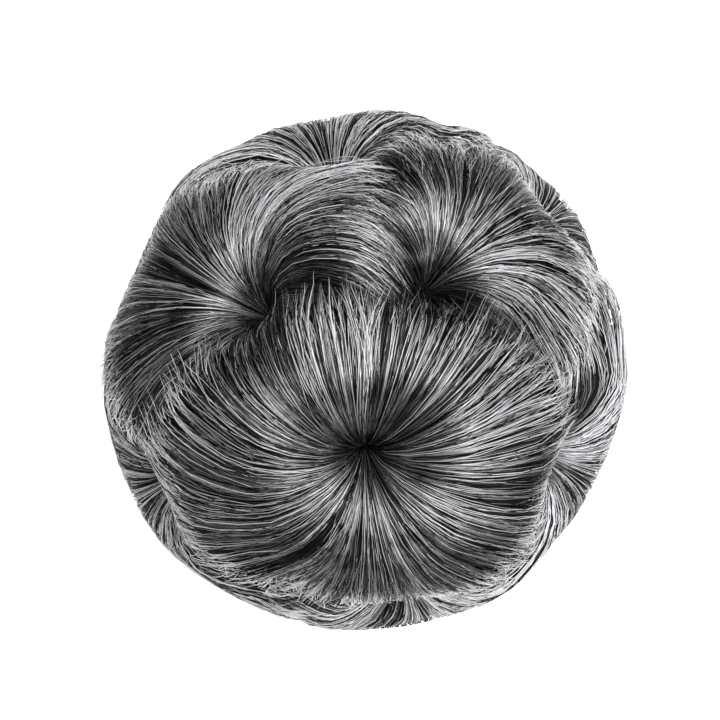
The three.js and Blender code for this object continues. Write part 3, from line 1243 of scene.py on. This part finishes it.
@dataclass
class NetCap:
    """The hollow cap that the curls are sewn to.

    It is a knitted dome lined with net, with a gathered hem round its opening.
    """

    knit: DarkFinish
    band: DarkFinish
    thread: DarkFinish
    wall: float = 1.2
    sphere_faces: tuple[int, int] = (96, 32)  # round the sphere that the dome comes from, and up it
    hem_height: float = 7.0
    hem_wall: float = 2.4
    hem_faces: int = 14  # round the hem's section
    gathers: int = 84
    gather_faces: int = 4  # round the hem, for each gather
    gather_depth: float = 0.3
    edge_gather: float = 0.3  # the part of a gather that is left at the hem's edges
    net_threads: int = 46
    net_turn: float = 75.0
    net_climb: Zone = (2.0, 84.0)
    net_steps: int = 20
    net_layers: tuple[tuple[int, float], ...] = ((-1, 0.8), (1, 1.5))  # ways round, and depths
    net_radius: float = 0.22
    stitch_length: float = 2.2
    stitch_pitch: float = 1.5  # from one stitch to the next, in stitches
    stitch_rise: float = 0.3
    stitch_depth: float = 2.0  # how far in the wefts' stitches lie, in thread radii
    stitch_steps: int = 6
    weft_rows: tuple[float, ...] = (12.0, 30.0, 47.0, 63.0)
    hem_stitch: Zone = (0.2, 0.6)  # where a stitch starts in its gather, and how long it is
    hem_row: float = 0.62  # how high on the hem its stitches run
    hem_row_drift: float = 0.06
    hem_row_waves: float = 3.0
    hem_row_sink: float = 0.1

    def __post_init__(self) -> None:
        """Reads the cap's size and place from its solid."""
        low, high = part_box("base_cap")
        self.middle = np.array([(low.x + high.x) / 2, (low.y + high.y) / 2, 0.0]) / MM
        self.radius = (high.x - low.x) / 2 / MM
        self.rise = high.z / MM - self.hem_height

    def on_dome(
        self, turn: np.ndarray, climb: np.ndarray, inset: float
    ) -> tuple[np.ndarray, np.ndarray]:
        """Points on the inside of the dome and the way in from there.

        Args:
            turn: How far round the points are, in radians.
            climb: How far up they are, from 0 at the hem to a quarter turn at the top, in radians.
            inset: How far inside the dome's outer face they lie.

        Returns:
            The points, and for each a unit vector into the hollow.
        """
        flat = np.cos(climb)
        out = np.stack([flat * np.cos(turn), flat * np.sin(turn), np.sin(climb)], axis=-1)
        size = np.array([self.radius - inset, self.radius - inset, self.rise - inset])
        return self.middle + (0.0, 0.0, self.hem_height) + out * size, -out

    def dome(self) -> bpy.types.Object:
        """Makes the dome from half a sphere, run down into the hem and given its thickness.

        Returns:
            The dome.
        """
        deselect_all()
        segments, rings = self.sphere_faces
        bpy.ops.mesh.primitive_uv_sphere_add(segments=segments, ring_count=rings, radius=1.0)
        piece = bpy.context.object
        piece.name = "net_cap"
        edit_all(piece)
        bpy.ops.mesh.bisect(plane_co=(0.0, 0.0, 0.0), plane_no=(0.0, 0.0, 1.0), clear_inner=True)
        bpy.ops.mesh.select_all(action="SELECT")
        size = (self.radius * MM, self.radius * MM, self.rise * MM)
        bpy.ops.transform.resize(value=size, center_override=(0.0, 0.0, 0.0))
        foot = self.middle + (0.0, 0.0, self.hem_height)
        bpy.ops.transform.translate(value=Vector(foot) * MM)
        bpy.ops.mesh.select_mode(type="EDGE")
        bpy.ops.mesh.select_all(action="DESELECT")
        bpy.ops.mesh.select_non_manifold()
        into_hem = Vector((0.0, 0.0, -self.hem_height / 2)) * MM
        bpy.ops.mesh.extrude_edges_move(TRANSFORM_OT_translate={"value": into_hem})
        bpy.ops.mesh.select_all(action="SELECT")
        bpy.ops.mesh.normals_make_consistent(inside=False)
        end_edit()
        apply_modifier(piece, "SOLIDIFY", thickness=self.wall * MM, offset=-1.0)
        bpy.ops.object.shade_smooth()
        piece.data.materials.append(self.knit.material())
        return piece

    def hem(self) -> bpy.types.Object:
        """Makes the hem from a ring, stretched tall and drawn up into gathers.

        Returns:
            The hem.
        """
        deselect_all()
        thick = self.hem_wall / 2
        bpy.ops.mesh.primitive_torus_add(
            major_segments=self.gathers * self.gather_faces, minor_segments=self.hem_faces,
            major_radius=(self.radius - thick) * MM, minor_radius=thick * MM,
        )
        piece = bpy.context.object
        piece.name = "cap_hem"
        edit_all(piece)
        tall = self.hem_height / self.hem_wall
        bpy.ops.transform.resize(value=(1.0, 1.0, tall), center_override=(0.0, 0.0, 0.0))
        half_way = self.middle + (0.0, 0.0, self.hem_height / 2)
        bpy.ops.transform.translate(value=Vector(half_way) * MM)
        end_edit()
        for vertex in piece.data.vertices:
            spoke = np.array(vertex.co) / MM - self.middle
            turn = math.atan2(spoke[1], spoke[0])
            level = 1 - abs(spoke[2] / self.hem_height * 2 - 1)
            pinch = self.gather_depth * (0.5 - 0.5 * math.cos(self.gathers * turn))
            pinch *= self.edge_gather + (1 - self.edge_gather) * level
            inside = math.hypot(spoke[0], spoke[1]) < self.radius - thick
            scale = 1 + (pinch if inside else -pinch) / self.radius
            vertex.co.x = (self.middle[0] + spoke[0] * scale) * MM
            vertex.co.y = (self.middle[1] + spoke[1] * scale) * MM
        activate(piece)
        bpy.ops.object.shade_smooth()
        piece.data.materials.append(self.band.material())
        return piece

    def net(self) -> StrandSet:
        """Lays the net's threads across the inside of the dome, half of them each way round.

        Returns:
            The threads.
        """
        rows, backs = [], []
        climb = np.radians(np.linspace(*self.net_climb, self.net_steps))
        for way, layer in self.net_layers:
            for start in np.arange(self.net_threads) * math.tau / self.net_threads:
                turn = start + way * math.radians(self.net_turn) * climb / climb[-1]
                points, inward = self.on_dome(turn, climb, self.wall + self.net_radius * layer)
                rows.append(points)
                backs.append(inward)
        return sewn_in_rows(rows, backs, self.net_radius)

    def stitches(self) -> StrandSet:
        """Sews the wefts of hair to the dome in level rows, and the hem along its inner face.

        Returns:
            The stitches.
        """
        rows, backs = [], []
        arch = np.linspace(0.0, 1.0, self.stitch_steps)
        rise = self.stitch_rise * np.sin(math.pi * arch)
        inset = self.wall + self.net_radius * self.stitch_depth
        for row in self.weft_rows:
            climb = np.full(arch.shape, math.radians(row))
            length = math.tau * (self.radius - self.wall) * math.cos(math.radians(row))
            count = int(length / (self.stitch_pitch * self.stitch_length))
            for stitch in range(count):
                turn = (stitch + arch / self.stitch_pitch) * math.tau / count
                points, inward = self.on_dome(turn, climb, inset)
                rows.append(points + inward * rise[:, None])
                backs.append(inward)
        start, run = self.hem_stitch
        reach = self.radius - self.hem_wall - self.gather_depth - rise + self.hem_row_sink
        for stitch in range(self.gathers):
            turn = (stitch + start + run * arch) * math.tau / self.gathers
            out = np.stack([np.cos(turn), np.sin(turn), np.zeros(arch.shape)], axis=-1)
            drift = self.hem_row_drift * math.sin(self.hem_row_waves * stitch)
            level = self.hem_height * (self.hem_row + drift)
            rows.append(self.middle + (0.0, 0.0, level) + out * reach[:, None])
            backs.append(-out)
        return sewn_in_rows(rows, backs, self.net_radius)

    def build(self) -> None:
        """Builds the cap, its hem, its net and its stitches."""
        dome = self.dome()
        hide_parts("base_cap")
        thread = self.thread.material()
        pieces = [dome, self.hem()]
        for name, threads in (("cap_net", self.net()), ("cap_stitches", self.stitches())):
            piece = new_piece(name, threads.mesh(name))
            piece.data.materials.append(thread)
            pieces.append(piece)
        for piece in pieces:
            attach(piece, BODY)
            report(piece)


@dataclass
class Comb:
    """The insertion comb in the front of the hem, and the threads that hold its ends."""

    plastic: DarkFinish
    thread: DarkFinish
    edge: float = 0.35
    edge_faces: int = 2
    smooth_angle: float = 40.0
    lean: float = 25.0
    spine: float = 6.0
    thickness: float = 1.8
    windings: int = 4
    winding_pitch: float = 1.3
    first_winding: float = 1.6  # from the end of the spine
    thread_radius: float = 0.3
    thread_faces: tuple[int, int] = (24, 6)  # along a winding, and round its thread

    def moulded(self) -> bpy.types.Object:
        """Makes the comb from its solid, with every edge rounded as moulding leaves it.

        Returns:
            The comb.
        """
        piece = copy_of_node("comb", "moulded_comb")
        rounding = {"width": self.edge * MM, "segments": self.edge_faces}
        apply_modifier(piece, "BEVEL", limit_method="ANGLE", **rounding)
        bpy.ops.object.shade_smooth_by_angle(angle=math.radians(self.smooth_angle))
        piece.data.materials.append(self.plastic.material())
        return piece

    def winding(self, end: float) -> bpy.types.Object:
        """Winds thread once round the spine, as a ring stretched round it.

        Args:
            end: Where along the spine, in metres.

        Returns:
            The winding.
        """
        low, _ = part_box("comb")
        lean = math.radians(self.lean)
        up = Vector((0.0, math.sin(lean), math.cos(lean)))
        back = Vector((0.0, -up.z, up.y))
        foot = Vector((end, low.y + self.thickness * math.cos(lean) / 2 * MM, low.z))
        middle = foot + up * (self.spine / 2 * MM)
        deselect_all()
        along, around = self.thread_faces
        radius = self.spine / 2 + self.thread_radius
        bpy.ops.mesh.primitive_torus_add(
            major_segments=along, minor_segments=around,
            major_radius=radius * MM, minor_radius=self.thread_radius * MM,
        )
        ring = bpy.context.object
        for vertex in ring.data.vertices:
            angle = math.atan2(vertex.co.y, vertex.co.x)
            proud = math.hypot(vertex.co.x, vertex.co.y) / MM - radius
            across = self.thickness / 2 + self.thread_radius + proud
            reach = up * ((radius + proud) * math.sin(angle)) + back * (across * math.cos(angle))
            vertex.co = middle + reach * MM + Vector((vertex.co.z, 0.0, 0.0))
        return ring

    def sewing(self) -> bpy.types.Object:
        """Winds thread round both ends of the spine.

        Returns:
            The windings, as one piece.
        """
        low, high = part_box("comb")
        turns = []
        for side, end in ((-1, low.x), (1, high.x)):
            for winding in range(self.windings):
                inward = self.first_winding + self.winding_pitch * winding
                turns.append(self.winding(end - side * inward * MM))
        piece = join(turns)
        piece.name = "comb_stitches"
        edit_all(piece)
        bpy.ops.mesh.normals_make_consistent(inside=False)
        end_edit()
        bpy.ops.object.shade_smooth()
        piece.data.materials.append(self.thread.material())
        return piece

    def build(self) -> None:
        """Builds the comb and its sewing."""
        comb, sewing = self.moulded(), self.sewing()
        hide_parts("comb")
        for piece, slot in ((comb, "comb_plastic"), (sewing, "net")):
            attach(piece, BODY)
            report(piece)


@dataclass(frozen=True)
class SoftBox:
    """A square lamp that faces the bun. Its place and size are in metres, its power in watts."""

    name: str
    place: Triple
    power: float
    size: float = 0.6

    def build(self) -> None:
        """Hangs the lamp."""
        turn = (-Vector(self.place)).to_track_quat("-Z", "Y").to_euler()
        bpy.ops.object.light_add(type="AREA", location=self.place, rotation=turn)
        lamp = bpy.context.object
        lamp.name = self.name
        lamp.data.shape = "SQUARE"
        lamp.data.size = self.size
        lamp.data.energy = self.power


@dataclass
class Studio:
    """A pale floor, soft light all round and a camera nearly straight above."""

    elevation: float = 85.0
    distance: float = 900.0
    frame_width: float = 173.5
    aim: Triple = (-1.4, 2.9, 20.0)
    floor_size: float = 4000.0
    floor_colour: Colour = (0.9, 0.9, 0.9, 1.0)
    floor_roughness: float = 0.9
    sky_colour: Colour = (1.0, 1.0, 1.0, 1.0)
    sky_strength: float = 0.12
    boxes: tuple[SoftBox, ...] = (
        SoftBox("top_box", (0.1, 0.12, 1.2), 33.0, 0.42),
        SoftBox("left_box", (-1.0, -0.1, 0.6), 7.0),
        SoftBox("right_box", (0.9, -0.6, 0.6), 15.0),
        SoftBox("front_box", (0.2, -1.0, 0.55), 14.0),
        SoftBox("back_box", (0.6, 0.9, 0.7), 11.0),
    )

    def build(self) -> None:
        """Builds the floor, the lights and the camera."""
        self.floor()
        self.light()
        self.camera()

    def floor(self) -> None:
        """Lays the floor."""
        deselect_all()
        bpy.ops.mesh.primitive_plane_add(size=self.floor_size * MM)
        floor = bpy.context.object
        floor.name = "floor"
        material, shader = new_material("pale_floor")
        shader.inputs["Base Color"].default_value = self.floor_colour
        shader.inputs["Roughness"].default_value = self.floor_roughness
        floor.data.materials.append(material)

    def light(self) -> None:
        """Sets a weak even sky and the soft boxes."""
        world = bpy.data.worlds.new("soft_sky")
        bpy.context.scene.world = world
        world.use_nodes = True
        sky = world.node_tree.nodes["Background"]
        sky.inputs["Color"].default_value = self.sky_colour
        sky.inputs["Strength"].default_value = self.sky_strength
        for box in self.boxes:
            box.build()

    def camera(self) -> None:
        """Places the camera at the photograph's angle."""
        rise = math.radians(self.elevation)
        back = Vector((0.0, -math.cos(rise), math.sin(rise)))
        place = Vector(self.aim) * MM + back * self.distance * MM
        bpy.ops.object.camera_add(location=place, rotation=(math.pi / 2 - rise, 0.0, 0.0))
        camera = bpy.context.object
        camera.name = "camera"
        camera.data.lens = camera.data.sensor_width * self.distance / self.frame_width
        bpy.context.scene.camera = camera
        bpy.context.scene.view_settings.view_transform = "Standard"


def main() -> None:
    """Builds the bun piece by piece, then the studio round it."""
    logging.basicConfig(level=logging.INFO, format="%(message)s")
    packed = HairFinish(name="packed_hair", dark_roughness=0.8, light_roughness=0.9, specular=0.08)
    dark = HairFinish(name="black_hair", specular=0.14)
    HairBun(light_finish=HairFinish(), dark_finish=dark, core_finish=packed).build()
    knit = DarkFinish(
        "black_knit", Pattern.KNIT, (0.004, 0.004, 0.005, 1.0), (0.05, 0.05, 0.055, 1.0),
        roughness=(0.7, 0.95), mottle_scale=90.0, repeats=(60.0, 30.0), relief=0.6, specular=0.25,
    )
    band = DarkFinish(
        "elastic_band", Pattern.RIBS, (0.006, 0.006, 0.007, 1.0), (0.06, 0.06, 0.065, 1.0),
        roughness=(0.6, 0.9), mottle_scale=140.0, repeats=(80.0, 1.0), relief=0.5, specular=0.3,
    )
    thread = DarkFinish(
        "sewing_thread", Pattern.TWIST, (0.01, 0.01, 0.011, 1.0), (0.11, 0.11, 0.12, 1.0),
        roughness=(0.45, 0.7), mottle_scale=200.0, repeats=(12.0, 1.0), relief=0.4, specular=0.4,
    )
    plastic = DarkFinish(
        "moulded_plastic", Pattern.GRAIN, (0.006, 0.006, 0.007, 1.0), (0.03, 0.03, 0.033, 1.0),
        roughness=(0.22, 0.5), mottle_scale=120.0, relief=0.12, relief_depth=0.05,
    )
    NetCap(knit, band, thread).build()
    Comb(plastic, thread).build()
    Studio().build()


if __name__ == "__main__":
    main()
